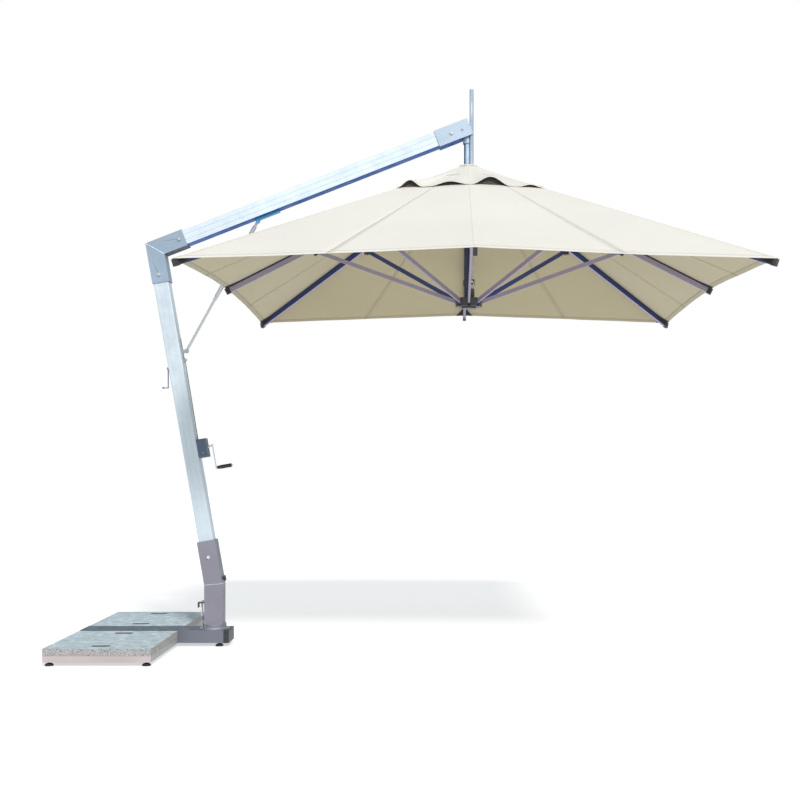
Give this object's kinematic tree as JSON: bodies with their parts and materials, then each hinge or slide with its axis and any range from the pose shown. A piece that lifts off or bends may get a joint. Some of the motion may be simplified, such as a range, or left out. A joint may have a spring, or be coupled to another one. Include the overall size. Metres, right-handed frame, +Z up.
{
  "type": "cantilever parasol",
  "caption": "Side-post garden parasol with a slab-weighted swivelling base, leaning mast, rising arm and a square folding canopy with a vent cap.",
  "frame": {"origin": "middle of the whole open parasol's footprint, on the ground", "axes": "+X from the base to the canopy, +Y across the arm to the far side, +Z up"},
  "size_m": [3.8838, 3.0196, 3.417],
  "materials": {
    "frame_paint": "satin",
    "stone": "matte",
    "beam_paint": "satin",
    "dark_plastic": "matte",
    "foot_rubber": "matte",
    "swivel_steel": "satin",
    "bush_nylon": "matte",
    "bracket_grey": "satin",
    "mast_aluminium": "satin",
    "cast_bracket": "satin",
    "bolt_steel": "satin",
    "pole_aluminium": "satin",
    "hub_grey": "matte",
    "rib_aluminium": "satin",
    "cloth": "matte",
    "winch_grey": "satin",
    "cord": "matte"
  },
  "bodies": {
    "base": {"base_frame": "frame_paint", "slab_front": "stone", "slab_rear": "stone", "base_beam": "beam_paint", "beam_end_cap": "dark_plastic", "levelling_feet": "foot_rubber", "swivel_base": "swivel_steel"},
    "mast": {"swivel_bearing": "bush_nylon", "foot_bracket": "bracket_grey", "through_bolts": "bolt_steel", "mast_tube": "mast_aluminium", "elbow_bracket": "cast_bracket", "arm_tube": "mast_aluminium", "arm_end_bracket": "cast_bracket", "pole_clamp": "cast_bracket", "pole": "pole_aluminium", "rod_guides": "hub_grey", "crown": "hub_grey", "canopy": "cloth", "vent_cap": "cloth", "brace": "pole_aluminium", "fitting_brackets": "bolt_steel", "winch_housing": "winch_grey", "hoist_cord": "cord", "cord_drop": "cord"},
    "pedal": {"foot_pedal": "dark_plastic"},
    "plunger": {"lock_plunger": "bolt_steel"},
    "knob": {"clamp_knob": "dark_plastic"},
    "drum": {"winch_drum": "swivel_steel"},
    "crank": {"crank": "bolt_steel"},
    "grip": {"crank_grip": "dark_plastic"},
    "pulley": {"end_pulley": "dark_plastic"},
    "hook": {"rear_hook": "bolt_steel"},
    "lock_pin": {"lock_pin": "bolt_steel"},
    "runner": {"runner": "hub_grey", "slide_rod": "pole_aluminium"},
    "rib_1": {"rib_1": "rib_aluminium", "rib_fittings_1": "dark_plastic"},
    "strut_1": {"strut_1": "rib_aluminium"},
    "rib_2": {"rib_2": "rib_aluminium", "rib_fittings_2": "dark_plastic"},
    "strut_2": {"strut_2": "rib_aluminium"},
    "rib_3": {"rib_3": "rib_aluminium", "rib_fittings_3": "dark_plastic"},
    "strut_3": {"strut_3": "rib_aluminium"},
    "rib_4": {"rib_4": "rib_aluminium", "rib_fittings_4": "dark_plastic"},
    "strut_4": {"strut_4": "rib_aluminium"},
    "rib_5": {"rib_5": "rib_aluminium", "rib_fittings_5": "dark_plastic"},
    "strut_5": {"strut_5": "rib_aluminium"},
    "rib_6": {"rib_6": "rib_aluminium", "rib_fittings_6": "dark_plastic"},
    "strut_6": {"strut_6": "rib_aluminium"},
    "rib_7": {"rib_7": "rib_aluminium", "rib_fittings_7": "dark_plastic"},
    "strut_7": {"strut_7": "rib_aluminium"},
    "rib_8": {"rib_8": "rib_aluminium", "rib_fittings_8": "dark_plastic"},
    "strut_8": {"strut_8": "rib_aluminium"}
  },
  "joints": [
    {"name": "mast_swivel", "type": "hinge", "parent": "base", "child": "mast", "pos_m": [-1.135, 0, 0.104], "axis": [0, 0, 1], "continuous": true},
    {"name": "pedal_lift", "type": "hinge", "parent": "mast", "child": "pedal", "pos_m": [-1.1975, 0, 0.262], "axis": [0, 1, 0], "range_deg": [0, 20], "stiffness_Nm_per_rad": 1, "springref_deg": -11.46},
    {"name": "plunger_lift", "type": "slide", "parent": "mast", "child": "plunger", "axis": [0, 0, 1], "range_m": [0, 0.0055]},
    {"name": "knob_turn", "type": "hinge", "parent": "mast", "child": "knob", "pos_m": [-1.08002, 0, 0.40896], "axis": [0.9851, 0, 0.1719], "continuous": true},
    {"name": "crank_turn", "type": "hinge", "parent": "mast", "child": "crank", "pos_m": [-1.14742, 0, 1.22553], "axis": [0.9851, 0, 0.1719], "continuous": true},
    {"name": "drum_turn", "type": "hinge", "parent": "mast", "child": "drum", "pos_m": [-1.20183, 0, 1.18253], "axis": [0, 1, 0], "continuous": true},
    {"name": "grip_spin", "type": "hinge", "parent": "crank", "child": "grip", "pos_m": [-1.07855, 0, 1.09848], "axis": [0.9851, 0, 0.1719], "continuous": true},
    {"name": "pulley_turn", "type": "hinge", "parent": "mast", "child": "pulley", "pos_m": [0.394, 0, 3.17011], "axis": [0, 1, 0], "continuous": true},
    {"name": "hook_swing", "type": "hinge", "parent": "mast", "child": "hook", "pos_m": [-1.42284, 0, 1.70025], "axis": [0, 1, 0], "range_deg": [-4, 80]},
    {"name": "lock_pin_pull", "type": "slide", "parent": "mast", "child": "lock_pin", "axis": [0, -1, 0], "range_m": [0, 0.015], "stiffness_N_per_m": 600, "springref_m": -0.004},
    {"name": "canopy_fold", "type": "slide", "parent": "mast", "child": "runner", "axis": [0, 0, 1], "range_m": [-1.1032, 0], "deforming": ["canopy", "vent_cap", "cord_drop"]},
    {"name": "rib_1_hinge", "type": "hinge", "parent": "mast", "child": "rib_1", "pos_m": [0.5, 0, 2.9], "axis": [0, 1, 0], "range_deg": [0, 55.41]},
    {"name": "strut_1_hinge", "type": "hinge", "parent": "rib_1", "child": "strut_1", "pos_m": [1.362, 0, 2.42034], "axis": [0, 1, 0], "range_deg": [-119.69, 0]},
    {"name": "rib_2_hinge", "type": "hinge", "parent": "mast", "child": "rib_2", "pos_m": [0.48008, 0.04808, 2.9], "axis": [-0.7071, 0.7071, 0], "range_deg": [0, 63.2]},
    {"name": "strut_2_hinge", "type": "hinge", "parent": "rib_2", "child": "strut_2", "pos_m": [1.08961, 0.65761, 2.53177], "axis": [-0.7071, 0.7071, 0], "range_deg": [-123.53, 0]},
    {"name": "rib_3_hinge", "type": "hinge", "parent": "mast", "child": "rib_3", "pos_m": [0.432, 0.068, 2.9], "axis": [-1, 0, 0], "range_deg": [0, 55.41]},
    {"name": "strut_3_hinge", "type": "hinge", "parent": "rib_3", "child": "strut_3", "pos_m": [0.432, 0.93, 2.42034], "axis": [-1, 0, 0], "range_deg": [-119.69, 0]},
    {"name": "rib_4_hinge", "type": "hinge", "parent": "mast", "child": "rib_4", "pos_m": [0.38392, 0.04808, 2.9], "axis": [-0.7071, -0.7071, 0], "range_deg": [0, 63.2]},
    {"name": "strut_4_hinge", "type": "hinge", "parent": "rib_4", "child": "strut_4", "pos_m": [-0.22561, 0.65761, 2.53177], "axis": [-0.7071, -0.7071, 0], "range_deg": [-123.53, 0]},
    {"name": "rib_5_hinge", "type": "hinge", "parent": "mast", "child": "rib_5", "pos_m": [0.364, 0, 2.9], "axis": [0, -1, 0], "range_deg": [0, 55.41]},
    {"name": "strut_5_hinge", "type": "hinge", "parent": "rib_5", "child": "strut_5", "pos_m": [-0.498, 0, 2.42034], "axis": [0, -1, 0], "range_deg": [-119.69, 0]},
    {"name": "rib_6_hinge", "type": "hinge", "parent": "mast", "child": "rib_6", "pos_m": [0.38392, -0.04808, 2.9], "axis": [0.7071, -0.7071, 0], "range_deg": [0, 63.2]},
    {"name": "strut_6_hinge", "type": "hinge", "parent": "rib_6", "child": "strut_6", "pos_m": [-0.22561, -0.65761, 2.53177], "axis": [0.7071, -0.7071, 0], "range_deg": [-123.53, 0]},
    {"name": "rib_7_hinge", "type": "hinge", "parent": "mast", "child": "rib_7", "pos_m": [0.432, -0.068, 2.9], "axis": [1, 0, 0], "range_deg": [0, 55.41]},
    {"name": "strut_7_hinge", "type": "hinge", "parent": "rib_7", "child": "strut_7", "pos_m": [0.432, -0.93, 2.42034], "axis": [1, 0, 0], "range_deg": [-119.69, 0]},
    {"name": "rib_8_hinge", "type": "hinge", "parent": "mast", "child": "rib_8", "pos_m": [0.48008, -0.04808, 2.9], "axis": [0.7071, 0.7071, 0], "range_deg": [0, 63.2]},
    {"name": "strut_8_hinge", "type": "hinge", "parent": "rib_8", "child": "strut_8", "pos_m": [1.08961, -0.65761, 2.53177], "axis": [0.7071, 0.7071, 0], "range_deg": [-123.53, 0]}
  ],
  "couplings": [
    {"joint": "plunger_lift", "follows": "pedal_lift", "m_per_rad": 0.0155},
    {"joint": "drum_turn", "follows": "crank_turn", "ratio": 0.05},
    {"joint": "pulley_turn", "follows": "crank_turn", "ratio": 0.032143},
    {"joint": "rib_1_hinge", "follows": "canopy_fold", "rad_per_m": -0.87658},
    {"joint": "strut_1_hinge", "follows": "canopy_fold", "rad_per_m": 1.8935},
    {"joint": "rib_2_hinge", "follows": "canopy_fold", "rad_per_m": -0.99977},
    {"joint": "strut_2_hinge", "follows": "canopy_fold", "rad_per_m": 1.9544},
    {"joint": "rib_3_hinge", "follows": "canopy_fold", "rad_per_m": -0.87658},
    {"joint": "strut_3_hinge", "follows": "canopy_fold", "rad_per_m": 1.8935},
    {"joint": "rib_4_hinge", "follows": "canopy_fold", "rad_per_m": -0.99977},
    {"joint": "strut_4_hinge", "follows": "canopy_fold", "rad_per_m": 1.9544},
    {"joint": "rib_5_hinge", "follows": "canopy_fold", "rad_per_m": -0.87658},
    {"joint": "strut_5_hinge", "follows": "canopy_fold", "rad_per_m": 1.8935},
    {"joint": "rib_6_hinge", "follows": "canopy_fold", "rad_per_m": -0.99977},
    {"joint": "strut_6_hinge", "follows": "canopy_fold", "rad_per_m": 1.9544},
    {"joint": "rib_7_hinge", "follows": "canopy_fold", "rad_per_m": -0.87658},
    {"joint": "strut_7_hinge", "follows": "canopy_fold", "rad_per_m": 1.8935},
    {"joint": "rib_8_hinge", "follows": "canopy_fold", "rad_per_m": -0.99977},
    {"joint": "strut_8_hinge", "follows": "canopy_fold", "rad_per_m": 1.9544}
  ]
}
